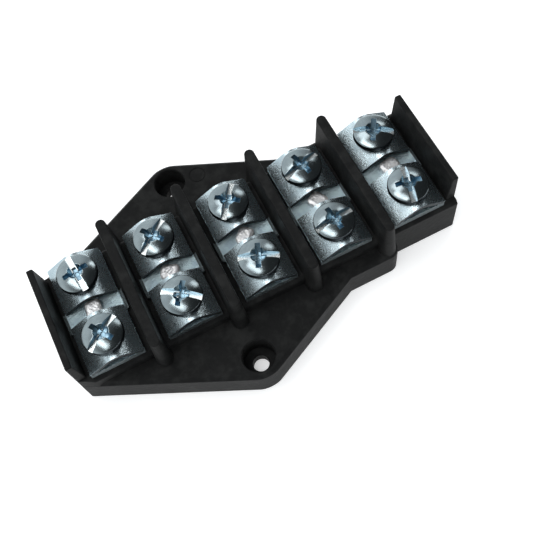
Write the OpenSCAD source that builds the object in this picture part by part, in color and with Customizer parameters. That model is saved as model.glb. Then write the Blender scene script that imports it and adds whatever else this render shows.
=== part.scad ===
// Barrier terminal strip: one moulded base with barriers, and for each pole a flat
// plated bar held by a rivet, with a roof-shaped clamp plate and a screw on each side.
// X runs along the row of poles, +Y is the back, +Z is up, and Z = 0 is the underside.

/* [Poles] */
// Number of poles; the mounting plate reaches under the first four
pole_count = 5; // [5:1:8]
// Distance between the centres of two poles
pitch = 16; // [14.5:0.5:20]
// Distance of each screw from the middle of the strip
screw_y = 6.8; // [6.4:0.1:7.2]

/* [Base] */
// Height of the barriers above the underside
barrier_top = 17.2; // [16:0.1:20]
// Height of the rail that carries the bars
rail_top = 10; // [8:0.1:10.5]
// Half of the rail's width
rail_half = 12.4; // [12.2:0.1:14]
// Thickness of the mounting plate
plate_t = 7.4; // [4:0.1:8]
// Distance from the middle to the corner where the plate's two long slopes would meet
plate_apex = 26.4; // [25:0.1:30]
// Radius of the rounded corners beside the fixing holes
apex_r = 5.5; // [4:0.1:7]
// Half of the plate's width beside the fourth pole
shoulder_half = 15.5; // [15.3:0.1:17]
// Bevel along the top edges of the plate and the rail
edge_bevel = 0.7; // [0.3:0.1:1]
// Half of the length of an end barrier
end_half = 11; // [10:0.1:11.8]

/* [Barriers] */
// Half of the length of an inner barrier at its top
nose_half = 14.5; // [13:0.1:14.8]
// Thickness of an inner barrier at its top
nose_t = 2; // [1.6:0.1:2.4]
// Thickness of an inner barrier where it meets the plate
root_t = 3.4; // [2.6:0.1:3.4]
// Thickness of an end barrier at its top
end_top_t = 1.3; // [1:0.1:2]
// Thickness of an end barrier at the rail
end_root_t = 2; // [1.6:0.1:2]

/* [Fixing holes] */
// Distance of each fixing hole from the middle of the strip
fixing_y = 21.3; // [20.5:0.1:22]
// Diameter of the fixing hole
fixing_d = 3.5; // [3:0.1:4.2]
// Diameter of the counterbore above it
counterbore_d = 6.4; // [5.5:0.1:7]
// Height of the counterbore's floor
counterbore_z = 2.5; // [1.5:0.1:4]

/* [Terminal bars] */
// Thickness of a bar
bar_t = 1.3; // [1:0.1:1.6]
// Half of the width of a bar, over its edge lips
bar_half_x = 6.1; // [5.8:0.05:6.15]
// Half of the width of a bar's flat top
bar_flat_x = 5.5; // [5.2:0.05:5.6]
// Half of the length of a bar
bar_half_y = 11.7; // [11:0.1:12]
// Gap between a screw's shank and the metal round it
fit_gap = 0.08; // [0.02:0.01:0.1]

/* [Clamp plates] */
// Thickness of a clamp plate
clamp_t = 0.8; // [0.6:0.1:1]
// Half of the width of a clamp plate, at the middle of its sheet
clamp_half_x = 5.3; // [5:0.1:5.4]
// Angle of the two flat flanks
clamp_slope = 28; // [20:0.5:31]
// Radius of the rounded ridge, at the middle of the sheet
ridge_r = 3.4; // [2:0.1:5]
// Distance of the inner edge from the middle of the strip
clamp_inner_y = 1.6; // [1.4:0.1:2]
// Distance of the outer edge from the middle of the strip
clamp_outer_y = 11.9; // [11.5:0.1:12.2]

/* [Screws] */
// Diameter of the screw head
head_d = 8; // [7.6:0.1:8]
// Height of the screw head
head_h = 2.4; // [2.2:0.1:2.8]
// Height of the straight side of the head
head_rim = 1.3; // [0.9:0.1:1.5]
// Thread size
screw_d = 4; // [3.5:0.5:4]
// Length of the screw under its head
screw_l = 12; // [10:0.5:12.5]
// Width of the straight slot
slot_w = 1.2; // [1:0.1:1.4]
// Height of the slot's floor above the underside of the head
slot_floor = 0.95; // [0.8:0.05:1.6]
// Length of the cross recess over two opposite wings
cross_l = 5; // [4:0.1:5.4]
// Width of a wing of the cross recess
cross_w = 1.1; // [0.9:0.1:1.3]

/* [Rivets] */
// Diameter of the rivet's shank
rivet_d = 3; // [2.5:0.1:3.2]
// Diameter of the rivet's upset end on top of the bar
rivet_head_d = 3.5; // [3.2:0.1:3.8]
// Height of the rivet's upset end above the bar
rivet_head_h = 1.5; // [1:0.1:1.8]

/* [Hidden] */
$fn = 64;
eps = 0.01;

// directions of the screw slots, in degrees from X, front row and back row
front_slots = [34, 144, 157, 6, 77];
back_slots = [96, 38, 53, 15, 149];

// places along the strip
half_len = pole_count * pitch / 2 + 0.4;
function pole_x(i) = (i - (pole_count - 1) / 2) * pitch;
function barrier_x(i) = (i - pole_count / 2) * pitch;
fixing_x = barrier_x(2);
shoulder_end = barrier_x(4) + 2.2;
shoulder_r = 2.2;

// slope of the plate's long sides, falling from the apex to the end barrier
apex_run = fixing_x + half_len;
slope = atan((plate_apex - end_half) / apex_run);

// heights in the terminals
bar_top = rail_top + bar_t;
flank_run = clamp_half_x - ridge_r * sin(clamp_slope);
ridge_z = bar_top + (clamp_t / 2 - ridge_r) * cos(clamp_slope) + flank_run * tan(clamp_slope);
head_z = ridge_z + ridge_r + clamp_t / 2;

// holes in the base under a terminal
screw_hole_r = screw_d / 2 + 0.3;
screw_hole_z = 1.4;
rivet_hole_r = rivet_d / 2 + 0.05;
rivet_pocket_r = 3.3;
rivet_pocket_z = 2;

POLES = [for (i = [0:pole_count - 1]) i];

// points of an arc about c, from angle a to angle b
function arc(c, r, a, b, steps) =
    [for (k = [0:steps]) c + r * [cos(a + (b - a) * k / steps), sin(a + (b - a) * k / steps)]];

// outline of the six-sided plate about its own middle, moved inwards by d
function hex_points(d) =
    let (top = arc([0, plate_apex - apex_r / cos(slope)], apex_r - d, 90 - slope, 90 + slope, 8),
         side = end_half - d * (1 - sin(slope)) / cos(slope),
         upper = concat([[apex_run - d, side]], top, [[d - apex_run, side]]))
    concat(upper, [for (k = [len(upper) - 1:-1:0]) [upper[k][0], -upper[k][1]]]);

// outline of the plate's shoulder beside the fourth pole, moved inwards by d
function shoulder_points(d) =
    let (x = shoulder_end - shoulder_r, y = shoulder_half - shoulder_r)
    concat([[fixing_x, -shoulder_half + d]],
           arc([x, -y], shoulder_r - d, -90, 0, 6),
           arc([x, y], shoulder_r - d, 0, 90, 6),
           [[fixing_x, shoulder_half - d]]);

// the mounting plate, bevelled along its top edge
module plate() {
    translate([fixing_x, 0, 0]) hull() {
        linear_extrude(plate_t - edge_bevel) polygon(hex_points(0));
        linear_extrude(plate_t) polygon(hex_points(edge_bevel));
    }
    hull() {
        linear_extrude(plate_t - edge_bevel) polygon(shoulder_points(0));
        linear_extrude(plate_t) polygon(shoulder_points(edge_bevel));
    }
}

// the rail under the bars, cut off at the left end by the slopes of the plate
module rail() {
    cut = (rail_half - end_half) / tan(slope);
    intersection() {
        rotate([90, 0, 90]) translate([0, 0, -half_len]) linear_extrude(2 * half_len)
            polygon([[-rail_half, 0], [rail_half, 0], [rail_half, rail_top - edge_bevel],
                     [rail_half - edge_bevel, rail_top], [edge_bevel - rail_half, rail_top],
                     [-rail_half, rail_top - edge_bevel]]);
        linear_extrude(barrier_top)
            polygon([[-half_len, -end_half], [cut - half_len, -rail_half], [half_len, -rail_half],
                     [half_len, rail_half], [cut - half_len, rail_half], [-half_len, end_half]]);
    }
}

// the plan of a barrier with rounded noses
module nose_plan(half, t) {
    for (side = [-1, 1]) translate([0, side * (half - t / 2), 0]) cylinder(r = t / 2, h = eps, $fn = 32);
}

// an inner barrier, thinner and a little shorter at its top
module inner_barrier() {
    foot = 0.7;
    hull() {
        translate([0, 0, barrier_top - eps]) nose_plan(nose_half, nose_t);
        translate([0, 0, plate_t - edge_bevel]) nose_plan(nose_half + foot, root_t);
    }
}

// an end barrier: upright outside, leaning inside, drawn for the left end
module end_barrier() {
    rotate([90, 0, 0]) translate([0, 0, -end_half]) linear_extrude(2 * end_half)
        polygon([[0, rail_top - 1], [end_root_t, rail_top - 1], [end_root_t, rail_top],
                 [end_top_t, barrier_top], [0, barrier_top]]);
}

// the holes for one pole's rivet and screws
module pole_holes() {
    translate([0, 0, -eps]) cylinder(r = rivet_hole_r, h = rail_top + 2 * eps);
    translate([0, 0, -eps]) cylinder(r = rivet_pocket_r, h = rivet_pocket_z + eps);
    for (side = [-1, 1]) translate([0, side * screw_y, screw_hole_z])
        cylinder(r = screw_hole_r, h = rail_top);
}

module fixing_hole() {
    translate([0, 0, -eps]) cylinder(d = fixing_d, h = plate_t);
    translate([0, 0, counterbore_z]) cylinder(d = counterbore_d, h = plate_t);
}

// the round mark that the mould leaves beside the back fixing hole
module mould_mark() {
    difference() {
        cylinder(r = 1.8, h = 1);
        translate([0, 0, -eps]) cylinder(r = 1.5, h = 1 + 2 * eps);
    }
}

module base() {
    color("#1c1d1e") difference() {
        union() {
            plate();
            rail();
            for (i = [1:pole_count - 1]) translate([barrier_x(i), 0, 0]) inner_barrier();
            for (side = [-1, 1]) scale([-side, 1, 1]) translate([-half_len, 0, 0]) end_barrier();
        }
        for (i = POLES) translate([pole_x(i), 0, 0]) pole_holes();
        for (side = [-1, 1]) translate([fixing_x, side * fixing_y, 0]) fixing_hole();
        translate([fixing_x + 5.9, fixing_y - 1.1, plate_t - 0.15]) mould_mark();
    }
}

// a flat bar with a narrow lip along each side
module terminal_bar() {
    groove = 0.3;
    lip = bar_half_x - 0.35;
    color("#c3c9d0") difference() {
        rotate([90, 0, 0]) translate([0, 0, -bar_half_y]) linear_extrude(2 * bar_half_y)
            polygon([[-bar_half_x, 0], [bar_half_x, 0], [bar_half_x, bar_t - 0.2], [lip, bar_t - 0.2],
                     [bar_flat_x, bar_t - groove - 0.2], [bar_flat_x, bar_t], [-bar_flat_x, bar_t],
                     [-bar_flat_x, bar_t - groove - 0.2], [-lip, bar_t - 0.2], [-bar_half_x, bar_t - 0.2]]);
        translate([0, 0, -eps]) cylinder(r = rivet_hole_r, h = bar_t + 2 * eps);
        for (side = [-1, 1]) translate([0, side * screw_y, -eps])
            cylinder(r = screw_d / 2 + fit_gap, h = bar_t + 2 * eps);
    }
}

// a rivet through bar and base: upset on top, a flat head in the pocket below
module bar_rivet() {
    flat_head = 1.2;
    low = rivet_pocket_z - flat_head;
    rim = 0.3;
    color("#d8d2cf") difference() {
        union() {
            translate([0, 0, low]) cylinder(r = rivet_pocket_r - 0.4, h = flat_head);
            translate([0, 0, low]) cylinder(d = rivet_d, h = bar_top - low);
            translate([0, 0, bar_top]) cylinder(d = rivet_head_d, h = rivet_head_h - rim);
            translate([0, 0, bar_top + rivet_head_h - rim])
                cylinder(d1 = rivet_head_d, d2 = rivet_head_d - 0.8, h = rim);
        }
        translate([-0.9, -0.55, bar_top + rivet_head_h - 0.15]) cube([1.8, 1.1, 1]);
    }
}

// half of a clamp plate seen along Y, about the middle of its ridge: arc, then flat flank
module clamp_half_profile() {
    flank = flank_run / cos(clamp_slope);
    polygon(concat(arc([0, 0], ridge_r + clamp_t / 2, 90, 90 - clamp_slope, 8),
                   arc([0, 0], ridge_r - clamp_t / 2, 90 - clamp_slope, 90, 8)));
    rotate(-clamp_slope) translate([-eps, ridge_r - clamp_t / 2]) square([flank + eps, clamp_t]);
}

// a clamp plate for the back row, with a hole for its screw
module clamp_plate() {
    color("#aab4c2") difference() {
        translate([0, clamp_inner_y - screw_y, ridge_z]) rotate([90, 0, 0]) mirror([0, 0, 1])
            linear_extrude(clamp_outer_y - clamp_inner_y)
                for (side = [-1, 1]) scale([side, 1]) clamp_half_profile();
        translate([0, 0, bar_top]) cylinder(r = screw_d / 2 + fit_gap, h = head_z);
    }
}

// the cross recess: two crossed slots that narrow towards the middle as they go down
module cross_recess() {
    depth = head_h - 0.4;
    translate([0, 0, 0.4]) intersection() {
        union() {
            translate([-cross_l / 2, -cross_w / 2, 0]) cube([cross_l, cross_w, depth + 1]);
            translate([-cross_w / 2, -cross_l / 2, 0]) cube([cross_w, cross_l, depth + 1]);
        }
        cylinder(r1 = 0.5, r2 = cross_l / 2, h = depth);
    }
}

// a pan-head screw with a slot and a cross recess, seated with its head on Z = 0
module screw(slot_turn) {
    dome = head_h - head_rim;
    dome_r = (head_d * head_d / 4 + dome * dome) / (2 * dome);
    tip = 0.5;
    color("#cfd5da") rotate([0, 0, slot_turn]) difference() {
        union() {
            intersection() {
                cylinder(d = head_d, h = head_h);
                translate([0, 0, head_h - dome_r]) sphere(r = dome_r, $fn = 96);
            }
            translate([0, 0, tip - screw_l]) cylinder(d = screw_d, h = screw_l);
            translate([0, 0, -screw_l]) cylinder(d1 = screw_d - 2 * tip, d2 = screw_d, h = tip);
        }
        translate([-head_d / 2 - 1, -slot_w / 2, slot_floor]) cube([head_d + 2, slot_w, head_h]);
        cross_recess();
    }
}

base();
for (i = POLES) translate([pole_x(i), 0, 0]) {
    translate([0, 0, rail_top]) terminal_bar();
    bar_rivet();
    translate([0, -screw_y, 0]) scale([1, -1, 1]) clamp_plate();
    translate([0, screw_y, 0]) clamp_plate();
    translate([0, -screw_y, head_z]) screw(front_slots[i % len(front_slots)]);
    translate([0, screw_y, head_z]) screw(back_slots[i % len(back_slots)]);
}
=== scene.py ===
import logging
import math
from collections.abc import Callable, Iterator, Sequence
from contextlib import contextmanager
from dataclasses import dataclass, field
from enum import Enum

import bmesh
import bpy
from mathutils import Matrix, Vector


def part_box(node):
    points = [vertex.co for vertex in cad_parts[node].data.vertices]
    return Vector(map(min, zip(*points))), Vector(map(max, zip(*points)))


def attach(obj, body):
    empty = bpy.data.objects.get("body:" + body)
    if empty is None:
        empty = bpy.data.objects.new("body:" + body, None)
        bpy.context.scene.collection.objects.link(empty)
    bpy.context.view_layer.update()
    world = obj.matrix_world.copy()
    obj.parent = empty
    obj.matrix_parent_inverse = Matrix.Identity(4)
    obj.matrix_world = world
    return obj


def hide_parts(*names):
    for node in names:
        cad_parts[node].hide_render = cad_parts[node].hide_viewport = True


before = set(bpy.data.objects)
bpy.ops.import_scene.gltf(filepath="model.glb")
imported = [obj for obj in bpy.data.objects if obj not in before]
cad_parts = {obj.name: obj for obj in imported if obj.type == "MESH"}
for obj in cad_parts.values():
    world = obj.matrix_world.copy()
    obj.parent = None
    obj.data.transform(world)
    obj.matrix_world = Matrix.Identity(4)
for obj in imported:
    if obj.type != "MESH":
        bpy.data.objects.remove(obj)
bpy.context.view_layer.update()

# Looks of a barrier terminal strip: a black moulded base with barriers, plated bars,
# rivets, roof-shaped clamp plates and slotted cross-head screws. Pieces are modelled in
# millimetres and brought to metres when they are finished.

MM = 0.001

# in millimetres: corners that become one, the same after a cut, and what counts as level
CORNER_GAP = 0.0005
CUT_GAP = 0.002
CLOSE = 0.01
UP = Vector((0.0, 0.0, 1.0))

log = logging.getLogger("terminal_strip")

Piece = bpy.types.Object
Point = tuple[float, float, float]
Colour = tuple[float, float, float]


# ---------------------------------------------------------------- the workbench


class Meeting(Enum):
    """How a tool acts on the piece it meets."""

    UNITE = "UNION"
    CUT_OUT = "DIFFERENCE"


def pick(*pieces: Piece) -> None:
    """Leaves just these pieces selected, with the last one active.

    Args:
        pieces: The pieces to select; none at all clears the selection.
    """
    if bpy.context.mode != "OBJECT":
        bpy.ops.object.mode_set(mode="OBJECT")
    bpy.ops.object.select_all(action="DESELECT")
    for piece in pieces:
        piece.select_set(True)
        bpy.context.view_layer.objects.active = piece


def settle(piece: Piece, gap: float = CORNER_GAP) -> Piece:
    """Merges doubled corners and turns every face outwards.

    Args:
        piece: The piece to clean.
        gap: Corners closer than this, in millimetres, become one.

    Returns:
        The same piece.
    """
    with editing(piece):
        bpy.ops.mesh.select_all(action="SELECT")
        bpy.ops.mesh.remove_doubles(threshold=gap)
        bpy.ops.mesh.normals_make_consistent(inside=False)
    return piece


@contextmanager
def editing(piece: Piece, element: str = "FACE") -> Iterator[None]:
    """Opens a piece in edit mode with nothing selected, and closes it again.

    Args:
        piece: The piece to edit.
        element: VERT, EDGE or FACE.

    Yields:
        Nothing; the body of the with statement runs in edit mode.
    """
    pick(piece)
    bpy.ops.object.mode_set(mode="EDIT")
    bpy.ops.mesh.select_mode(type=element)
    bpy.ops.mesh.select_all(action="DESELECT")
    yield
    bpy.ops.object.mode_set(mode="OBJECT")


def choose_faces(piece: Piece, test: Callable[[Vector, Vector], bool]) -> None:
    """Selects the faces whose middle and normal pass a test, in edit mode."""
    mesh = bmesh.from_edit_mesh(piece.data)
    mesh.normal_update()
    for face in mesh.faces:
        face.select_set(test(face.calc_center_median(), face.normal))
    bmesh.update_edit_mesh(piece.data)


def choose_edges(piece: Piece, test: Callable[[Vector, Vector], bool]) -> None:
    """Selects the edges whose two ends pass a test, in edit mode."""
    mesh = bmesh.from_edit_mesh(piece.data)
    for edge in mesh.edges:
        edge.select_set(test(edge.verts[0].co, edge.verts[1].co))
    bmesh.update_edit_mesh(piece.data)


def choose_corners(piece: Piece, test: Callable[[Vector], bool]) -> None:
    """Selects the corners whose place passes a test, in edit mode."""
    mesh = bmesh.from_edit_mesh(piece.data)
    for corner in mesh.verts:
        corner.select_set(test(corner.co))
    mesh.select_flush_mode()
    bmesh.update_edit_mesh(piece.data)


def block(name: str, low: Point, high: Point) -> Piece:
    """Adds a block between two corners.

    Args:
        name: The new piece's name.
        low: Its lowest corner, in millimetres.
        high: Its highest corner.

    Returns:
        The block, with its place in its mesh.
    """
    pick()
    middle = [(a + b) / 2 for a, b in zip(low, high)]
    bpy.ops.mesh.primitive_cube_add(size=1, location=middle, scale=[b - a for a, b in zip(low, high)])
    piece = bpy.context.active_object
    piece.name = name
    bpy.ops.object.transform_apply(location=True, rotation=True, scale=True)
    return piece


def turned(name: str, centre: tuple[float, float], profile: Sequence[tuple[float, float]],
           sides: int = 48) -> Piece:
    """Turns a round solid about an upright axis by extruding one disc upwards.

    Args:
        name: The new piece's name.
        centre: Where its axis stands, in millimetres.
        profile: Radius and height of each step, from the bottom up.
        sides: Number of sides of the circle.

    Returns:
        The closed solid.
    """
    pick()
    radius, height = profile[0]
    bpy.ops.mesh.primitive_circle_add(vertices=sides, radius=radius, fill_type="NGON",
                                      location=(*centre, height))
    piece = bpy.context.active_object
    piece.name = name
    bpy.ops.object.transform_apply(location=True, rotation=True, scale=True)
    with editing(piece):
        bpy.ops.mesh.select_all(action="SELECT")
        for next_radius, next_height in profile[1:]:
            bpy.ops.mesh.extrude_region_move(
                TRANSFORM_OT_translate={"value": (0, 0, next_height - height)})
            share = next_radius / radius
            bpy.ops.transform.resize(value=(share, share, 1), center_override=(*centre, next_height))
            radius, height = next_radius, next_height
    return settle(piece)


def sliced(piece: Piece, point: Point, normal: Point, remove: bool = True) -> Piece:
    """Cuts a piece by a plane.

    Args:
        piece: The piece to cut.
        point: A point on the plane.
        normal: The plane's normal.
        remove: True removes what lies on the normal's side and closes the cut; False
            only draws the cut on the surface.

    Returns:
        The same piece.
    """
    with editing(piece):
        bpy.ops.mesh.select_all(action="SELECT")
        bpy.ops.mesh.bisect(plane_co=point, plane_no=normal, use_fill=remove, clear_outer=remove)
    return piece


def joined(name: str, pieces: Sequence[Piece]) -> Piece:
    """Makes separate pieces one object, without merging them."""
    pick(*pieces)
    bpy.ops.object.join()
    piece = bpy.context.active_object
    piece.name = name
    return piece


def met(piece: Piece, tool: Piece, how: Meeting) -> Piece:
    """Unites a tool with a piece or cuts it out, and removes the tool.

    Args:
        piece: The piece that is kept.
        tool: The other solid.
        how: What to do where they meet.

    Returns:
        The same piece.
    """
    pick(piece)
    change = piece.modifiers.new("meeting", "BOOLEAN")
    change.operation = how.value
    change.solver = "EXACT"
    change.object = tool
    bpy.ops.object.modifier_apply(modifier=change.name)
    bpy.data.objects.remove(tool)
    return settle(piece, CUT_GAP)


def softened(piece: Piece, width: float, segments: int = 2, sharper_than: float = 30.0) -> Piece:
    """Rounds every edge that is sharper than an angle.

    Args:
        piece: The piece to round.
        width: Width of the rounding, in millimetres.
        segments: Number of faces across it.
        sharper_than: The least angle between two faces, in degrees.

    Returns:
        The same piece.
    """
    pick(piece)
    change = piece.modifiers.new("soft_edges", "BEVEL")
    change.width = width
    change.segments = segments
    change.limit_method = "ANGLE"
    change.angle_limit = math.radians(sharper_than)
    change.use_clamp_overlap = True
    change.miter_outer = "MITER_ARC"
    bpy.ops.object.modifier_apply(modifier=change.name)
    return piece


def marked(piece: Piece, mark: "Mark", test: Callable[[Vector, Vector], bool]) -> Piece:
    """Marks the faces whose middle and normal pass a test, for the piece's finish.

    Args:
        piece: The piece, in object mode.
        mark: What is marked on them.
        test: Takes a face's middle and its normal.

    Returns:
        The same piece.
    """
    faces = piece.data.polygons
    layer = piece.data.attributes.new(mark.value, "FLOAT", "FACE")
    layer.data.foreach_set("value", [float(test(face.center, face.normal)) for face in faces])
    return piece


def copied(piece: Piece, name: str, shift: Point, turn: float = 0.0) -> Piece:
    """Copies a piece, each copy with its own mesh, turned about Z and then moved.

    Args:
        piece: The piece to copy.
        name: The copy's name.
        shift: How far it moves, in millimetres.
        turn: How far it turns about Z through the origin, in degrees.

    Returns:
        The copy, with its place in its mesh.
    """
    copy = piece.copy()
    copy.data = piece.data.copy()
    copy.name = copy.data.name = name
    bpy.context.collection.objects.link(copy)
    copy.matrix_world = Matrix.Translation(shift) @ Matrix.Rotation(math.radians(turn), 4, "Z")
    pick(copy)
    bpy.ops.object.transform_apply(location=True, rotation=True, scale=True)
    return copy


def finished(piece: Piece, body: str, replaced: str, finish: bpy.types.Material,
             smooth_below: float = 32.0) -> Piece:
    """Brings a piece from millimetres to metres, dresses it and gives it to its body.

    Args:
        piece: The piece, in millimetres.
        body: The body that it rides on.
        replaced: The node of the frame that it stands for.
        finish: Its material.
        smooth_below: Edges flatter than this, in degrees, are shaded smooth.

    Returns:
        The finished piece.
    """
    piece.scale = (MM, MM, MM)
    pick(piece)
    bpy.ops.object.transform_apply(location=True, rotation=True, scale=True)
    bpy.ops.object.shade_smooth_by_angle(angle=math.radians(smooth_below))
    flat = piece.modifiers.new("flat_faces", "WEIGHTED_NORMAL")
    flat.keep_sharp = True
    bpy.ops.object.modifier_apply(modifier=flat.name)
    piece.name = piece.data.name = f"{replaced}_piece"
    piece.data.materials.clear()
    piece.data.materials.append(finish)
    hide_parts(replaced)
    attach(piece, body)
    log.info("%s: %d faces, on %s", piece.name, len(piece.data.polygons), body)
    return piece


# ---------------------------------------------------------------- shader values


class Value:
    """A socket of a material's nodes that can stand in a sum or a product."""

    def __init__(self, recipe: "Recipe", socket: bpy.types.NodeSocket) -> None:
        """Wraps an output socket of a recipe's nodes."""
        self.recipe = recipe
        self.socket = socket

    def _math(self, operation: str, *terms: "Value | float") -> "Value":
        """Adds one Math node over the terms."""
        return self.recipe.node("ShaderNodeMath", {"operation": operation}, dict(enumerate(terms)))

    def __add__(self, other: "Value | float") -> "Value":
        """self + other."""
        return self._math("ADD", self, other)

    def __radd__(self, other: float) -> "Value":
        """other + self."""
        return self._math("ADD", other, self)

    def __sub__(self, other: "Value | float") -> "Value":
        """self - other."""
        return self._math("SUBTRACT", self, other)

    def __rsub__(self, other: float) -> "Value":
        """other - self."""
        return self._math("SUBTRACT", other, self)

    def __mul__(self, other: "Value | float") -> "Value":
        """self * other."""
        return self._math("MULTIPLY", self, other)

    def __rmul__(self, other: float) -> "Value":
        """other * self."""
        return self._math("MULTIPLY", other, self)

    def ramp(self, low: float, high: float) -> "Value":
        """0 below low, 1 above high, and smooth between them."""
        return self.recipe.node("ShaderNodeMapRange", {"interpolation_type": "SMOOTHSTEP"},
                                {"Value": self, "From Min": low, "From Max": high})


class Recipe:
    """The nodes of one material or world, added one by one."""

    def __init__(self, tree: bpy.types.NodeTree) -> None:
        """Clears the tree and starts on it."""
        tree.nodes.clear()
        self.tree = tree

    def node(self, kind: str, settings: dict[str, object] | None = None,
             inputs: dict[str | int, object] | None = None, output: str | int = 0) -> Value:
        """Adds a node.

        Args:
            kind: The node's type.
            settings: Its own settings.
            inputs: A number, a colour or a Value for each named or numbered input.
            output: The output to hand back.

        Returns:
            The chosen output.
        """
        node = self.tree.nodes.new(kind)
        for key, setting in (settings or {}).items():
            setattr(node, key, setting)
        for key, given in (inputs or {}).items():
            if isinstance(given, Value):
                self.tree.links.new(given.socket, node.inputs[key])
            else:
                node.inputs[key].default_value = given
        return Value(self, node.outputs[output] if node.outputs else None)

    def place(self, stretch: Point = (1.0, 1.0, 1.0)) -> Value:
        """The point on the piece, in metres, stretched along each axis."""
        here = self.node("ShaderNodeTexCoord", output="Object")
        return self.node("ShaderNodeMapping", {}, {"Vector": here, "Scale": stretch})

    def noise(self, across: float, detail: float = 3.0, rough: float = 0.55,
              stretch: Point = (1.0, 1.0, 1.0)) -> Value:
        """Cloudy noise whose patches are about this many millimetres across."""
        return self.node("ShaderNodeTexNoise", {}, {
            "Vector": self.place(stretch), "Scale": 1 / (across * MM), "Detail": detail,
            "Roughness": rough})

    def grains(self, across: float) -> Value:
        """Distance to the nearest of scattered grains this many millimetres apart, smoothed."""
        return self.node("ShaderNodeTexVoronoi", {"feature": "SMOOTH_F1"}, {
            "Vector": self.place(), "Scale": 1 / (across * MM)}, "Distance")

    def mark(self, name: str) -> Value:
        """A mask that was marked on the piece's faces."""
        return self.node("ShaderNodeAttribute", {"attribute_name": name}, {}, "Fac")

    def blend(self, share: "Value | float", first: "Value | Colour", second: "Value | Colour") -> Value:
        """A colour between two others."""
        first, second = ((*tone, 1.0) if isinstance(tone, tuple) else tone for tone in (first, second))
        return self.node("ShaderNodeMix", {"data_type": "RGBA"}, {0: share, 6: first, 7: second}, 2)

    def bump(self, height: Value, depth: float, strength: float = 1.0,
             under: Value | None = None) -> Value:
        """A bump from a height between 0 and 1.

        Args:
            height: The height.
            depth: How many millimetres a height of 1 stands for.
            strength: Share of the effect.
            under: Another bump that this one lies on.

        Returns:
            The normal.
        """
        inputs: dict[str | int, object] = {"Height": height, "Distance": depth * MM, "Strength": strength}
        if under is not None:
            inputs["Normal"] = under
        return self.node("ShaderNodeBump", {}, inputs)

    def surface(self, **inputs: "Value | float | Colour") -> None:
        """Ends the recipe with one Principled surface.

        Args:
            inputs: Its inputs, with an underscore for each space.
        """
        given = {key.replace("_", " "): (*value, 1.0) if isinstance(value, tuple) else value
                 for key, value in inputs.items()}
        shader = self.node("ShaderNodeBsdfPrincipled", {}, given)
        self.node("ShaderNodeOutputMaterial", {}, {"Surface": shader})


def new_material(name: str) -> tuple[bpy.types.Material, Recipe]:
    """A new material and the recipe of its nodes."""
    material = bpy.data.materials.new(name)
    material.use_nodes = True
    return material, Recipe(material.node_tree)


@dataclass(frozen=True)
class MouldedBlack:
    """Semi-matt black moulding, with the mottled sheen of a mould's surface."""

    tone: Colour = (0.011, 0.0114, 0.0115)
    dusty: Colour = (0.020, 0.0206, 0.0202)
    roughness: float = 0.52
    gloss: float = 0.07
    cloud_size: float = 3.0
    peel_size: float = 0.8
    peel_depth: float = 0.09
    fine_size: float = 0.12
    fine_depth: float = 0.012

    def make(self) -> bpy.types.Material:
        """Builds the material."""
        material, recipe = new_material("moulding")
        cloud = recipe.noise(self.cloud_size, 4.0, 0.62)
        orange_peel = recipe.noise(self.peel_size, 3.0, 0.5)
        fine = recipe.noise(self.fine_size, 2.0, 0.6)
        skin = recipe.bump(fine, self.fine_depth, 0.6, recipe.bump(orange_peel, self.peel_depth, 0.7))
        recipe.surface(
            Base_Color=recipe.blend(cloud.ramp(0.4, 0.68), self.tone, self.dusty),
            Roughness=self.roughness + 0.3 * (cloud - 0.5) + 0.08 * (fine - 0.5),
            Specular_IOR_Level=self.gloss, Normal=skin)
        return material


class Mark(Enum):
    """Faces of a plated piece coloured unlike the rest: painted shade, a painted highlight and the punched
    recess.
    """

    SHEARED = "sheared"
    ROLLED = "rolled"
    PUNCHED = "punched"
    SLOTTED = "slotted"


@dataclass(frozen=True)
class MarkedLook:
    """How the plating looks on the faces with one mark."""

    mark: Mark
    tone: Colour
    roughness: float
    dents: float = 0.0


@dataclass(frozen=True)
class PlatedSteel:
    """Zinc on steel: a metal with a fine grain and slightly varied sheen."""

    name: str
    tone: Colour
    shade: Colour
    roughness: float
    grain: float
    grain_depth: float
    marked_looks: tuple[MarkedLook, ...] = ()
    rolled: Point = (1.0, 1.0, 1.0)
    cloud_size: float = 2.6

    def make(self) -> bpy.types.Material:
        """Builds the material."""
        material, recipe = new_material(self.name)
        cloud = recipe.noise(self.cloud_size, 3.0)
        grain = recipe.noise(self.grain, 3.0, 0.6, self.rolled)
        colour = recipe.blend(cloud.ramp(0.35, 0.7), self.tone, self.shade)
        roughness = self.roughness + 0.12 * (cloud - 0.5) + 0.1 * (grain - 0.5)
        height = self.grain_depth * grain
        # Each mark gives its faces their own tone and roughness; most marks paint shade or a highlight
        # there.
        for look in self.marked_looks:
            mask = recipe.mark(look.mark.value)
            colour = recipe.blend(mask, colour, look.tone)
            roughness = roughness + mask * (look.roughness - self.roughness)
            if look.dents:
                height = height + mask * grain * look.dents
        recipe.surface(Base_Color=colour, Metallic=1.0, Roughness=roughness,
                       Normal=recipe.bump(height, 1.0, 0.7))
        return material


@dataclass(frozen=True)
class HammeredRivet:
    """Soft bright metal, peened over."""

    tone: Colour = (1.0, 1.0, 1.0)
    shade: Colour = (0.9, 0.91, 0.93)
    roughness: float = 0.5
    dent_size: float = 0.45
    dent_depth: float = 0.15
    cloud_size: float = 0.8

    def make(self) -> bpy.types.Material:
        """Builds the material."""
        material, recipe = new_material("rivet_metal")
        dents = recipe.grains(self.dent_size)
        cloud = recipe.noise(self.cloud_size, 3.0)
        recipe.surface(
            Base_Color=recipe.blend(cloud.ramp(0.3, 0.75), self.tone, self.shade), Metallic=1.0,
            Roughness=self.roughness + 0.2 * (cloud - 0.5),
            Normal=recipe.bump(dents, self.dent_depth, 0.8))
        return material


# The bar's upright faces and side lips get a dark painted shade instead of the plating's tone.
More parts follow.
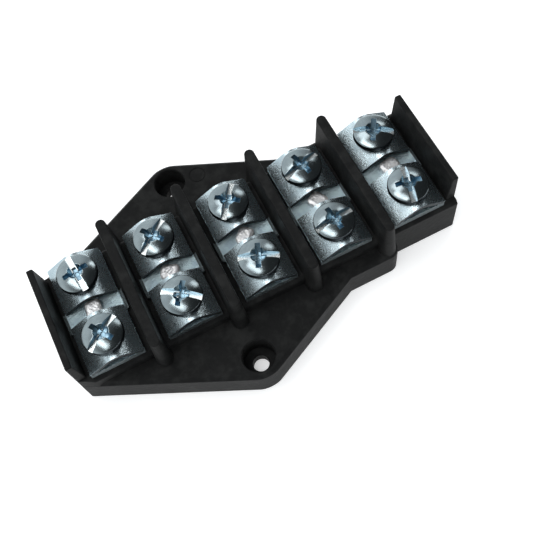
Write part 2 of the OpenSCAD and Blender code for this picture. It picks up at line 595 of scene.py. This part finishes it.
BAR_PLATING = PlatedSteel(
    name="bar_plating", tone=(0.76, 0.95, 1.0), shade=(0.52, 0.68, 0.77),
    roughness=0.32, grain=0.26, grain_depth=0.3,
    marked_looks=(MarkedLook(Mark.SHEARED, tone=(0.16, 0.19, 0.20), roughness=0.45),))
# The plate's ends and underside get a near-black painted shade.
CLAMP_PLATING = PlatedSteel(
    name="clamp_plating", tone=(0.76, 0.90, 0.95), shade=(0.57, 0.70, 0.76),
    roughness=0.27, grain=0.2, grain_depth=0.042, rolled=(1.0, 0.7, 1.0),
    marked_looks=(MarkedLook(Mark.SHEARED, tone=(0.05, 0.06, 0.065), roughness=0.5),))
# The rim's side gets a near-black painted shade and the slot's floor a near-white painted highlight; the
# recess has its own bluer tone.
SCREW_PLATING = PlatedSteel(
    name="screw_plating", tone=(0.37, 0.44, 0.46), shade=(0.30, 0.36, 0.385),
    roughness=0.2, grain=0.14, grain_depth=0.008,
    marked_looks=(MarkedLook(Mark.ROLLED, tone=(0.04, 0.045, 0.05), roughness=0.35),
            MarkedLook(Mark.PUNCHED, tone=(0.30, 0.46, 0.57), roughness=0.28),
            MarkedLook(Mark.SLOTTED, tone=(0.94, 1.0, 1.0), roughness=0.28, dents=0.02)))


# ---------------------------------------------------------------- the pieces


@dataclass
class Layout:
    """Where things stand, in millimetres, read from the frame."""

    poles: int = 5
    pole_x: list[float] = field(default_factory=list)
    screw_y: float = 0.0
    base_high: Vector = field(default_factory=Vector)
    rail_top: float = 0.0
    bar_top: float = 0.0
    head_z: float = 0.0

    def __post_init__(self) -> None:
        """Reads the places from the boxes of the frame's nodes."""
        def span(node: str) -> tuple[Vector, Vector]:
            """The lowest and highest corner of a node's box, in millimetres."""
            low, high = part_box(node)
            return low / MM, high / MM

        self.base_high = span("base")[1]
        for number in range(1, self.poles + 1):
            low, high = span(f"terminal_bar_{number}")
            self.pole_x.append(round((low.x + high.x) / 2, 3))
        self.rail_top, self.bar_top = round(low.z, 3), round(high.z, 3)
        low, high = span("back_screw_1")
        self.screw_y = round((low.y + high.y) / 2, 2)
        self.head_z = span("back_clamp_plate_1")[1].z

    @property
    def pitch(self) -> float:
        """Distance between two poles."""
        return self.pole_x[1] - self.pole_x[0]

    @property
    def half_length(self) -> float:
        """Half of the length of the row."""
        return self.base_high.x


@dataclass
class BaseMoulding:
    """The base: mounting plate, rail, barriers, fixing holes and terminal holes."""

    layout: Layout
    plate_t: float = 7.4
    rim: float = 0.7
    apex_y: float = 26.4
    apex_r: float = 5.5
    fixing_x: float = -8.0
    fixing_y: float = 21.3
    end_half: float = 11.0
    shoulder_half: float = 15.5
    shoulder_end: float = 26.2
    shoulder_r: float = 2.2
    rail_half: float = 12.4
    nose_half: float = 14.5
    nose_t: float = 2.0
    root_t: float = 3.4
    foot: float = 0.7
    end_top_t: float = 1.3
    end_root_t: float = 2.0
    seam: float = 0.02
    edge: float = 0.14
    nose_edge: float = 0.28
    end_edge: float = 0.25
    pocket_r: float = 3.3
    pocket_top: float = 2.0
    rivet_hole_r: float = 1.55
    screw_hole_r: float = 2.3
    screw_hole_floor: float = 1.4
    fixing_r: float = 1.6
    counterbore_r: float = 3.2
    counterbore_z: float = 2.5
    mark_from_hole: tuple[float, float] = (5.9, -1.1)
    mark_r: float = 1.8
    mark_core_r: float = 1.5
    mark_depth: float = 0.15

    @property
    def slope(self) -> float:
        """Angle between X and the plate's long sides, in radians."""
        run = self.fixing_x + self.layout.half_length
        return math.atan((self.apex_y - self.end_half) / run)

    def _slope_cuts(self, piece: Piece, ends: Sequence[int], inset: float = 0.0) -> None:
        """Cuts a piece along the plate's long sides.

        Args:
            piece: The piece to cut.
            ends: The ends to cut towards, -1 for the left and 1 for the right.
            inset: How far inside the plate's sides to cut.
        """
        run = self.fixing_x + self.layout.half_length
        lean = inset / math.cos(self.slope)
        for end in ends:
            for side in (-1, 1):
                sliced(piece, (self.fixing_x + end * run, side * (self.end_half - lean), 0),
                       (end * math.sin(self.slope), side * math.cos(self.slope), 0))

    def _rim_bevel(self, piece: Piece, height: float, test: Callable[[Vector, Vector], bool]) -> None:
        """Bevels the chosen top edges at a height."""
        with editing(piece, "EDGE"):
            choose_edges(piece, lambda a, b: abs(a.z - height) < CLOSE and abs(b.z - height) < CLOSE
                         and test(a, b))
            bpy.ops.mesh.bevel(offset=self.rim, segments=1, affect="EDGES")

    def plate(self) -> Piece:
        """The six-sided mounting plate with its rounded corners and bevelled rim."""
        run = self.fixing_x + self.layout.half_length
        wide = self.apex_y + 3
        piece = block("plate", (self.fixing_x - run + self.seam, -wide, 0),
                      (self.fixing_x + run, wide, self.plate_t))
        self._slope_cuts(piece, (-1, 1))
        settle(piece)
        with editing(piece, "EDGE"):
            choose_edges(piece, lambda a, b: abs(a.y) > self.apex_y - 0.1 and abs(a.x - b.x) < CLOSE
                         and abs(a.y - b.y) < CLOSE)
            bpy.ops.mesh.bevel(offset=self.apex_r * math.tan(self.slope), segments=10, affect="EDGES")
        self._rim_bevel(piece, self.plate_t, lambda a, b: True)
        return softened(piece, self.edge)

    def shoulder(self) -> Piece:
        """The part of the plate beside the fourth pole."""
        piece = block("shoulder", (self.fixing_x, -self.shoulder_half, self.seam),
                      (self.shoulder_end, self.shoulder_half, self.plate_t))
        with editing(piece, "EDGE"):
            choose_edges(piece, lambda a, b: min(a.x, b.x) > self.shoulder_end - 0.1
                         and abs(a.y - b.y) < CLOSE)
            bpy.ops.mesh.bevel(offset=self.shoulder_r, segments=8, affect="EDGES")
        self._rim_bevel(piece, self.plate_t, lambda a, b: max(a.x, b.x) > self.fixing_x + 0.1)
        return softened(piece, self.edge)

    def rail(self) -> Piece:
        """The raised rail that carries the bars."""
        half, top = self.layout.half_length - 2 * self.seam, self.layout.rail_top
        piece = block("rail", (-half, -self.rail_half, 2 * self.seam), (half, self.rail_half, top))
        self._rim_bevel(piece, top, lambda a, b: abs(a.y - b.y) < CLOSE)
        self._slope_cuts(piece, (-1,), 2 * self.seam)
        settle(piece)
        return softened(piece, self.edge)

    def inner_barrier(self, x: float) -> Piece:
        """A barrier between two poles, tapered, with rounded noses.

        Args:
            x: Where it stands along the row.

        Returns:
            The barrier.
        """
        low, top = self.plate_t - self.rim, self.layout.base_high.z
        reach = self.nose_half + self.foot
        piece = block("inner_barrier", (x - self.root_t / 2, -reach, low), (x + self.root_t / 2, reach, top))
        with editing(piece, "EDGE"):
            choose_edges(piece, lambda a, b: abs(a.z - b.z) > 1)
            bpy.ops.mesh.bevel(offset=self.root_t / 2, segments=14, affect="EDGES")
        settle(piece, 0.01)
        thinner = self.nose_t / self.root_t
        for side in (-1, 1):
            root = side * (reach - self.root_t / 2)
            nose = side * (self.nose_half - self.nose_t / 2)
            with editing(piece, "VERT"):
                choose_corners(piece, lambda c: c.z > top - 0.1 and side * c.y > 1)
                bpy.ops.transform.resize(value=(thinner, thinner, 1), center_override=(x, root, top))
                bpy.ops.transform.translate(value=(0, nose - root, 0))
        return softened(piece, self.nose_edge, 3)

    def end_barrier(self, side: int) -> Piece:
        """The barrier at one end, upright outside and leaning inside.

        Args:
            side: -1 for the left end, 1 for the right one.

        Returns:
            The barrier.
        """
        half, top = self.layout.half_length, self.layout.base_high.z
        outer, inner = side * half, side * (half - self.end_root_t)
        piece = block("end_barrier", (min(outer, inner), -self.end_half, 3 * self.seam),
                      (max(outer, inner), self.end_half, top))
        sliced(piece, (0, 0, self.layout.rail_top), (0, 0, 1), remove=False)
        with editing(piece, "VERT"):
            choose_corners(piece, lambda c: c.z > top - 0.1 and abs(c.x) < half - 0.1)
            bpy.ops.transform.translate(value=(side * (self.end_root_t - self.end_top_t), 0, 0))
        return softened(piece, self.end_edge, 3)

    @staticmethod
    def _flared(radius: float, below: float) -> list[tuple[float, float]]:
        """The steps of a hole that opens a little wider at the underside."""
        return [(radius + 0.2, below), (radius + 0.2, -0.05), (radius, 0.15)]

    def holes(self) -> Piece:
        """All that is cut out of the base, as one tool."""
        layout = self.layout
        above, below = layout.rail_top + 2, -0.5
        tools: list[Piece] = []
        for x in layout.pole_x:
            tools.append(turned("rivet_hole", (x, 0), [
                *self._flared(self.pocket_r, below), (self.pocket_r, self.pocket_top),
                (self.rivet_hole_r, self.pocket_top), (self.rivet_hole_r, above)]))
            for side in (-1, 1):
                tools.append(turned("screw_hole", (x, side * layout.screw_y), [
                    (self.screw_hole_r, self.screw_hole_floor), (self.screw_hole_r, above)]))
        for side in (-1, 1):
            mouth_r, seat = self.counterbore_r + 0.25, self.counterbore_z
            tools.append(turned("fixing_hole", (self.fixing_x, side * self.fixing_y), [
                *self._flared(self.fixing_r, below),
                (self.fixing_r, seat - 0.15), (self.fixing_r + 0.15, seat),
                (self.counterbore_r, seat), (self.counterbore_r, self.plate_t - 0.2),
                (mouth_r, self.plate_t + 0.05), (mouth_r, self.plate_t + 1)], 64))
        aside, along = self.mark_from_hole
        mark_at = (self.fixing_x + aside, self.fixing_y + along)
        mark = turned("mark", mark_at, [
            (self.mark_r, self.plate_t - self.mark_depth), (self.mark_r, self.plate_t + 1)], 48)
        core = turned("mark_core", mark_at, [
            (self.mark_core_r, self.plate_t - 1), (self.mark_core_r, self.plate_t + 2)], 48)
        tools.append(met(mark, core, Meeting.CUT_OUT))
        return joined("holes", tools)

    def build(self, finish: bpy.types.Material) -> Piece:
        """Builds and dresses the whole base.

        Args:
            finish: The moulding's material.

        Returns:
            The base.
        """
        layout = self.layout
        piece = self.plate()
        parts = [self.shoulder(), self.rail(), self.end_barrier(-1), self.end_barrier(1)]
        parts += [self.inner_barrier(x + layout.pitch / 2) for x in layout.pole_x[:-1]]
        for part in parts:
            met(piece, part, Meeting.UNITE)
        met(piece, self.holes(), Meeting.CUT_OUT)
        return finished(piece, "base", "base", finish)


@dataclass
class TerminalBar:
    """The flat plated bar of one pole, with a short lip on each side of its rivet."""

    layout: Layout
    half_x: float = 6.1
    flat_x: float = 5.5
    lip_x: float = 5.92
    half_y: float = 11.7
    lip_drop: float = 0.3
    groove: float = 0.3
    lip_y: float = 2.2
    screw_hole_r: float = 2.08
    rivet_hole_r: float = 1.55
    edge: float = 0.05
    steep: float = 0.5

    def model(self) -> Piece:
        """One bar, with its middle over the origin."""
        low, top = self.layout.rail_top, self.layout.bar_top
        piece = block("bar", (-self.half_x, -self.half_y, low), (self.half_x, self.half_y, top))
        far = self.half_y + 1
        for side in (-1, 1):
            steps = ((self.flat_x, self.lip_x, self.lip_drop + self.groove),
                     (self.lip_x - 0.01, self.half_x + 1, self.lip_drop))
            for inner, outer, drop in steps:
                a, b = sorted((side * inner, side * outer))
                met(piece, block("step", (a, -far, top - drop), (b, far, top + 1)), Meeting.CUT_OUT)
            a, b = sorted((side * self.flat_x, side * (self.half_x + 1)))
            for end in (-1, 1):
                c, d = sorted((end * self.lip_y, end * far))
                met(piece, block("trim", (a, c, low - 1), (b, d, top + 1)), Meeting.CUT_OUT)
        holes = [turned("hole", (0, 0), [(self.rivet_hole_r, low - 1), (self.rivet_hole_r, top + 1)])]
        holes += [turned("hole", (0, side * self.layout.screw_y), [
            (self.screw_hole_r, low - 1), (self.screw_hole_r, top + 1)]) for side in (-1, 1)]
        met(piece, joined("holes", holes), Meeting.CUT_OUT)
        softened(settle(piece), self.edge)
        # Painted shade: the upright faces and the lips beside the flat top are marked to be coloured dark.
        return marked(piece, Mark.SHEARED,
                      lambda c, n: abs(n.z) < self.steep or abs(c.x) > self.flat_x + 0.1)


@dataclass
class ClampPlate:
    """A roof-shaped plate under a screw head, modelled for the back row."""

    layout: Layout
    thickness: float = 0.8
    half_x: float = 5.3
    slope: float = math.radians(28)
    ridge_r: float = 3.4
    inner_y: float = 1.6
    outer_y: float = 11.9
    hole_r: float = 2.08
    steps: int = 12
    edge: float = 0.06
    end_tilt: float = 0.6
    under_tilt: float = -0.3

    @property
    def flank(self) -> float:
        """Length of one flat flank along its slope."""
        return (self.half_x - self.ridge_r * math.sin(self.slope)) / math.cos(self.slope)

    def model(self) -> Piece:
        """One plate at the pole over the origin: a strip drawn up, over the ridge and down."""
        mid_z = self.layout.head_z - self.thickness / 2
        ridge = (0, 0, mid_z - self.ridge_r)
        along, up = self.flank * math.cos(self.slope), self.flank * math.sin(self.slope)
        pick()
        bpy.ops.mesh.primitive_plane_add(
            size=1, location=(0, (self.inner_y + self.outer_y) / 2, mid_z), rotation=(0, math.pi / 2, 0))
        strip = bpy.context.active_object
        strip.name = "clamp"
        strip.scale = (self.thickness, self.outer_y - self.inner_y, 1)
        bpy.ops.object.transform_apply(location=True, rotation=True, scale=True)
        with editing(strip):
            bpy.ops.mesh.select_all(action="SELECT")
            bpy.ops.transform.rotate(value=self.slope, orient_axis="Y", center_override=ridge)
            bpy.ops.transform.translate(value=(-along, 0, -up))
            bpy.ops.mesh.extrude_region_move(TRANSFORM_OT_translate={"value": (along, 0, up)})
            bpy.ops.mesh.spin(steps=self.steps, angle=2 * self.slope, center=ridge, axis=(0, -1, 0))
            bpy.ops.mesh.extrude_region_move(TRANSFORM_OT_translate={"value": (along, 0, -up)})
        settle(strip)
        hole = turned("hole", (0, self.layout.screw_y), [
            (self.hole_r, self.layout.bar_top - 1), (self.hole_r, self.layout.head_z + 1)])
        met(strip, hole, Meeting.CUT_OUT)
        softened(settle(strip), self.edge)
        # Painted shade: the plate's ends and underside are marked to be coloured near-black.
        return marked(strip, Mark.SHEARED,
                      lambda c, n: abs(n.y) > self.end_tilt or n.z < self.under_tilt)


@dataclass
class PanScrew:
    """A pan-head screw with a slot, a cross recess and a thread."""

    layout: Layout
    head_r: float = 4.0
    head_h: float = 2.4
    rim_h: float = 1.3
    rim_edge: float = 0.28
    major_r: float = 1.98
    minor_r: float = 1.6
    thread_pitch: float = 0.7
    length: float = 12.0
    slot_w: float = 1.2
    slot_floor: float = 0.95
    cross_w: float = 1.1
    edge: float = 0.07
    thread_turns: int = 20
    wing_low: float = 0.6
    wing_half: float = 3.4
    wing_floor_half: float = 1.2
    floor_tilt: float = 0.9
    cone_tilt: tuple[float, float] = (0.45, 0.62)
    rim_tilt: float = 0.88
    rim_depth: float = 0.12
    skin: float = 0.09

    @property
    def dome_r(self) -> float:
        """Radius of the sphere that the face belongs to."""
        dome = self.head_h - self.rim_h
        return (self.head_r ** 2 + dome ** 2) / (2 * dome)

    def face_z(self, reach: float) -> float:
        """Height of the face at a distance from the axis."""
        return self.head_h - self.dome_r + math.sqrt(self.dome_r ** 2 - min(reach, self.head_r) ** 2)

    def head(self) -> Piece:
        """The domed head over the origin, with its underside on Z = 0 and a rounded rim."""
        edge, radius = self.rim_edge, self.dome_r
        middle_r = self.head_r - edge
        middle_z = self.head_h - radius + math.sqrt((radius - edge) ** 2 - middle_r ** 2)
        tilt = math.asin(middle_r / (radius - edge))
        profile = [(self.head_r - 0.15, 0.0), (self.head_r, 0.15)]
        rim_steps, dome_steps = 4, 12
        for step in range(rim_steps):
            angle = math.pi / 2 - (math.pi / 2 - tilt) * step / rim_steps
            profile.append((middle_r + edge * math.sin(angle), middle_z + edge * math.cos(angle)))
        for step in range(dome_steps):
            reach = radius * math.sin(tilt * (1 - step / dome_steps))
            profile.append((reach, self.face_z(reach)))
        profile.append((0.12, self.head_h))
        return turned("head", (0, 0), profile, 72)

    def wing(self, turn: float) -> Piece:
        """One slot of the cross recess, whose ends slope down to a short floor."""
        low, high = self.wing_low, self.head_h + 0.4
        half, thick = self.wing_half, self.cross_w / 2
        piece = block("wing", (-half, -thick, low), (half, thick, high))
        with editing(piece, "VERT"):
            choose_corners(piece, lambda c: c.z < low + 0.1)
            bpy.ops.transform.resize(
                value=(self.wing_floor_half / half, 0.75, 1), center_override=(0, 0, low))
        pick(piece)
        piece.rotation_euler.z = math.radians(turn)
        bpy.ops.object.transform_apply(location=True, rotation=True, scale=True)
        return piece

    def bore(self) -> Piece:
        """The cone in the middle of the recess that rounds the corners between the wings."""
        return turned("bore", (0, 0), [
            (0.45, 0.45), (1.5, self.head_h - 0.2), (1.75, self.head_h + 0.4)], 32)

    def thread(self) -> Piece:
        """The shank with its helical thread, from just inside the head down to the tip."""
        pick()
        bpy.ops.mesh.primitive_plane_add(size=1)
        piece = bpy.context.active_object
        piece.name = "thread"
        pitch = self.thread_pitch
        start = -self.length - pitch
        outline = [(self.minor_r, 0.0), (self.major_r, 0.4 * pitch), (self.major_r, 0.55 * pitch),
                   (self.minor_r, 0.95 * pitch), (self.minor_r, pitch)]
        with editing(piece, "VERT"):
            bpy.ops.mesh.select_all(action="SELECT")
            bpy.ops.mesh.merge(type="CENTER")
            bpy.ops.transform.translate(value=(outline[0][0], 0, start))
            for (r0, z0), (r1, z1) in zip(outline, outline[1:]):
                bpy.ops.mesh.extrude_region_move(TRANSFORM_OT_translate={"value": (r1 - r0, 0, z1 - z0)})
        change = piece.modifiers.new("helix", "SCREW")
        change.axis = "Z"
        change.steps = change.render_steps = 28
        change.screw_offset = pitch
        change.iterations = self.thread_turns
        change.use_merge_vertices = True
        change.merge_threshold = 0.001
        pick(piece)
        bpy.ops.object.modifier_apply(modifier=change.name)
        settle(piece, 0.002)
        sliced(piece, (0, 0, 0.3), (0, 0, 1))
        sliced(piece, (0, 0, -self.length), (0, 0, -1))
        settle(piece)
        return piece

    def model(self) -> Piece:
        """The whole screw over the origin, with its slot along X."""
        piece = self.head()
        far = self.head_r + 1
        slot = block("slot", (-far, -self.slot_w / 2, self.slot_floor),
                     (far, self.slot_w / 2, self.head_h + 1))
        for tool in (slot, self.wing(0), self.wing(90), self.bore()):
            met(piece, tool, Meeting.CUT_OUT)
        softened(settle(piece), self.edge, 2, 38)
        met(piece, self.thread(), Meeting.UNITE)
        return self.mark_faces(piece)

    def mark_faces(self, piece: Piece) -> Piece:
        """Marks the slot's floor for a painted highlight, the punched recess, and the rim's side for painted
        shade.

        Args:
            piece: The whole screw.

        Returns:
            The same piece.
        """
        inside_r = self.head_r - self.rim_depth

        def below_face(middle: Vector) -> bool:
            """Whether a place lies inside the head, under its face."""
            reach = math.hypot(middle.x, middle.y)
            return 0.3 < middle.z < self.face_z(reach) - self.skin and reach < inside_r

        def slot_floor(middle: Vector, normal: Vector) -> bool:
            """Whether a face belongs to the slot's floor, which gets a near-white painted highlight."""
            return (below_face(middle) and abs(middle.y) < self.slot_w / 2 + CLOSE
                    and normal.z > self.floor_tilt and abs(middle.z - self.slot_floor) < 0.05)

        def punched(middle: Vector, normal: Vector) -> bool:
            """Whether a face belongs to the recess, apart from the sloping ends of its wings."""
            steepest, flattest = self.cone_tilt
            return (below_face(middle) and not slot_floor(middle, normal)
                    and not steepest < normal.z < flattest)

        def rolled(middle: Vector, normal: Vector) -> bool:
            """Whether a face belongs to the rim's side, which is coloured near-black as painted shade."""
            return (abs(normal.z) < self.rim_tilt and 0.05 < middle.z < self.rim_h
                    and math.hypot(middle.x, middle.y) > inside_r)

        # The slot's floor gets a painted highlight and the rim's side a painted shade.
        marked(piece, Mark.SLOTTED, slot_floor)
        marked(piece, Mark.PUNCHED, punched)
        return marked(piece, Mark.ROLLED, rolled)


@dataclass
class Rivet:
    """The rivet that holds a bar: squashed and scored on top, flat head below."""

    layout: Layout
    shank_r: float = 1.5
    top_half: tuple[float, float] = (1.85, 1.55)
    top_h: float = 1.5
    pocket_top: float = 2.0
    head_r: float = 2.9
    corner: float = 0.95
    inset: float = 0.35
    swell: float = 0.08
    fall: float = 0.2
    score_w: float = 0.16
    score_depth: float = 0.2
    # middle x and y, length and turn in degrees of each score
    scores: tuple[tuple[float, float, float, float], ...] = (
        (-0.35, 0.2, 1.3, 50), (0.15, -0.1, 1.8, 50), (0.75, -0.3, 1.3, 50), (-0.5, -0.5, 0.9, -25))

    def model(self) -> Piece:
        """One rivet over the origin."""
        deck = self.layout.bar_top
        crown = deck + self.top_h
        piece = turned("rivet", (0, 0), [
            (self.head_r - 0.2, self.pocket_top - 1.2), (self.head_r, self.pocket_top - 1.0),
            (self.head_r, self.pocket_top), (self.shank_r, self.pocket_top), (self.shank_r, deck + 0.3)], 40)
        half_x, half_y = self.top_half
        top = block("top", (-half_x, -half_y, deck), (half_x, half_y, crown))
        with editing(top, "EDGE"):
            choose_edges(top, lambda a, b: abs(a.z - b.z) > 0.5)
            bpy.ops.mesh.bevel(offset=self.corner, segments=6, affect="EDGES")
        settle(top)
        with editing(top):
            choose_faces(top, lambda c, n: n.z > 0.9)
            bpy.ops.mesh.inset(thickness=self.inset)
            bpy.ops.mesh.inset(thickness=self.inset)
            bpy.ops.transform.translate(value=(0, 0, self.swell))
        with editing(top, "VERT"):
            choose_corners(top, lambda c: abs(c.z - crown) < CLOSE and (
                abs(c.x) > half_x - 0.2 or abs(c.y) > half_y - 0.2
                or abs(c.x) + abs(c.y) > half_x + half_y - 0.9))
            bpy.ops.transform.translate(value=(0, 0, -self.fall))
        met(piece, top, Meeting.UNITE)
        for x, y, long, turn in self.scores:
            score = block("score", (-long / 2, -self.score_w / 2, crown - self.score_depth),
                          (long / 2, self.score_w / 2, crown + 0.5))
            score.rotation_euler.z = math.radians(turn)
            score.location = (x, y, 0)
            pick(score)
            bpy.ops.object.transform_apply(location=True, rotation=True, scale=True)
            met(piece, score, Meeting.CUT_OUT)
        return softened(settle(piece), 0.05, 2, 40)


@dataclass
class Terminals:
    """Everything that is fitted to the poles."""

    layout: Layout
    front_slots: tuple[float, ...] = (34, 144, 157, 6, 77)
    back_slots: tuple[float, ...] = (96, 38, 53, 15, 149)
    rivet_turn: float = 72.0
    first_rivet_turn: float = 12.0
    screw_smooth_below: float = 40.0

    def build(self) -> None:
        """Models each kind of piece once and fits a copy at each place."""
        layout = self.layout
        bar_finish, plate_finish = BAR_PLATING.make(), CLAMP_PLATING.make()
        screw_finish = SCREW_PLATING.make()
        rivet_finish = HammeredRivet().make()
        bar, plate = TerminalBar(layout).model(), ClampPlate(layout).model()
        screw, rivet = PanScrew(layout).model(), Rivet(layout).model()
        for number, x in enumerate(layout.pole_x, 1):
            finished(copied(bar, "bar", (x, 0, 0)), "base", f"terminal_bar_{number}",
                     bar_finish)
            turn = self.rivet_turn * number + self.first_rivet_turn
            finished(copied(rivet, "rivet", (x, 0, 0), turn), "base", f"bar_rivet_{number}",
                     rivet_finish)
            for row, side, slots in (("front", -1, self.front_slots), ("back", 1, self.back_slots)):
                own_plate = copied(plate, "plate", (x, 0, 0), 0.0 if side > 0 else 180.0)
                finished(own_plate, f"{row}_clamp_{number}", f"{row}_clamp_plate_{number}",
                         plate_finish)
                seat = (x, side * layout.screw_y, layout.head_z)
                finished(copied(screw, "screw", seat, slots[number - 1]), f"{row}_screw_body_{number}",
                         f"{row}_screw_{number}", screw_finish, self.screw_smooth_below)
        for pattern in (bar, plate, screw, rivet):
            bpy.data.objects.remove(pattern)


# ---------------------------------------------------------------- the studio


@dataclass(frozen=True)
class Softbox:
    """A soft rectangular lamp that faces the strip; a radiance of 1 is white."""

    name: str
    at: Point
    size: tuple[float, float]
    radiance: float
    turn: float = 0.0

    def hang(self) -> None:
        """Puts the lamp in its place, turned about its own axis."""
        lamp = bpy.data.lights.new(self.name, "AREA")
        lamp.shape = "RECTANGLE"
        lamp.size, lamp.size_y = self.size
        lamp.energy = self.radiance * math.pi * self.size[0] * self.size[1]
        holder = bpy.data.objects.new(self.name, lamp)
        bpy.context.collection.objects.link(holder)
        facing = (Vector((0, 0, 0.01)) - Vector(self.at)).to_track_quat("-Z", "Y").to_matrix().to_4x4()
        spin = Matrix.Rotation(math.radians(self.turn), 4, "Z")
        holder.matrix_world = Matrix.Translation(self.at) @ facing @ spin


@dataclass
class Studio:
    """A pale floor, soft lights and the camera."""

    floor_half: float = 4.0
    floor_tone: float = 0.92
    floor_lift: float = 0.42
    backdrop: float = 1.06
    tint: Colour = (0.95, 0.98, 1.0)
    wall: float = 0.85
    gloom: float = 0.02
    ambient: float = 0.72
    softboxes: tuple[Softbox, ...] = (
        Softbox("key", (-0.19, -0.055, 0.51), (0.44, 0.14), 3.2, 12),
        Softbox("overhead", (-0.10, 0.21, 0.45), (0.20, 0.26), 2.2, -16),
        Softbox("low_back", (0.36, 0.315, 0.33), (0.17, 0.15), 1.8))
    camera_at: Point = (-0.01549, -0.07132, 0.15399)
    camera_along: Point = (0.10538, 0.40448, -0.90846)
    camera_roll: float = 12.79
    lens: float = 55.13

    def floor(self) -> None:
        """A plain pale floor that shows white and keeps the object's shadow."""
        pick()
        bpy.ops.mesh.primitive_plane_add(size=2 * self.floor_half, location=(0, 0, 0))
        floor = bpy.context.active_object
        floor.name = "floor"
        material, recipe = new_material("floor")
        path = {key: recipe.node("ShaderNodeLightPath", output=f"Is {key} Ray")
                for key in ("Camera", "Glossy", "Transmission")}
        seen = recipe.node("ShaderNodeMath", {"operation": "MINIMUM"}, {
            0: path["Camera"] + path["Glossy"] + path["Transmission"], 1: 1.0})
        matt = recipe.node("ShaderNodeBsdfDiffuse", {}, {"Color": (*(self.floor_tone,) * 3, 1)})
        lift = recipe.node("ShaderNodeEmission", {}, {
            "Color": (1, 1, 1, 1), "Strength": seen * self.floor_lift})
        both = recipe.node("ShaderNodeAddShader", {}, {0: matt, 1: lift})
        recipe.node("ShaderNodeOutputMaterial", {}, {"Surface": both})
        floor.data.materials.append(material)

    def world(self) -> None:
        """A white backdrop, and for gloss a studio that is paler to the left and back."""
        world = bpy.data.worlds.new("studio")
        world.use_nodes = True
        bpy.context.scene.world = world
        recipe = Recipe(world.node_tree)
        camera = recipe.node("ShaderNodeLightPath", output="Is Camera Ray")
        mirrored = (recipe.node("ShaderNodeLightPath", output="Is Glossy Ray")
                    + recipe.node("ShaderNodeLightPath", output="Is Transmission Ray"))
        along = recipe.node("ShaderNodeTexCoord", output="Generated")
        right, back, up = (recipe.node("ShaderNodeSeparateXYZ", {}, {0: along}, axis) for axis in "XYZ")
        paler = (0.6 * back - 0.8 * right).ramp(-0.4, 0.6)
        wall = self.gloom + self.wall * paler * (1 - 0.75 * up.ramp(0.6, 0.85))
        light = self.backdrop * camera + (1 - camera) * (mirrored * wall + (1 - mirrored) * self.ambient)
        shine = recipe.node("ShaderNodeBackground", {}, {"Color": (*self.tint, 1), "Strength": light})
        recipe.node("ShaderNodeOutputWorld", {}, {"Surface": shine})

    def camera(self) -> None:
        """Places the camera with its roll."""
        camera = bpy.data.cameras.new("camera")
        camera.lens = self.lens
        camera.sensor_width = 36.0
        camera.clip_start = 0.001
        holder = bpy.data.objects.new("camera", camera)
        bpy.context.collection.objects.link(holder)
        along = Vector(self.camera_along).normalized()
        level = along.cross(UP).normalized()
        rise = level.cross(along)
        roll = math.radians(self.camera_roll)
        above = math.cos(roll) * rise + math.sin(roll) * level
        aside = along.cross(above)
        frame_axes = Matrix((aside, above, -along)).transposed().to_4x4()
        holder.matrix_world = Matrix.Translation(self.camera_at) @ frame_axes
        bpy.context.scene.camera = holder

    def build(self) -> None:
        """Sets up floor, world, lamps and camera."""
        self.floor()
        self.world()
        for softbox in self.softboxes:
            softbox.hang()
        self.camera()
        bpy.context.scene.view_settings.view_transform = "Standard"


def main() -> None:
    """Builds the strip and its studio."""
    logging.basicConfig(level=logging.INFO, format="%(message)s")
    layout = Layout()
    BaseMoulding(layout).build(MouldedBlack().make())
    Terminals(layout).build()
    Studio().build()


if __name__ == "__main__":
    main()
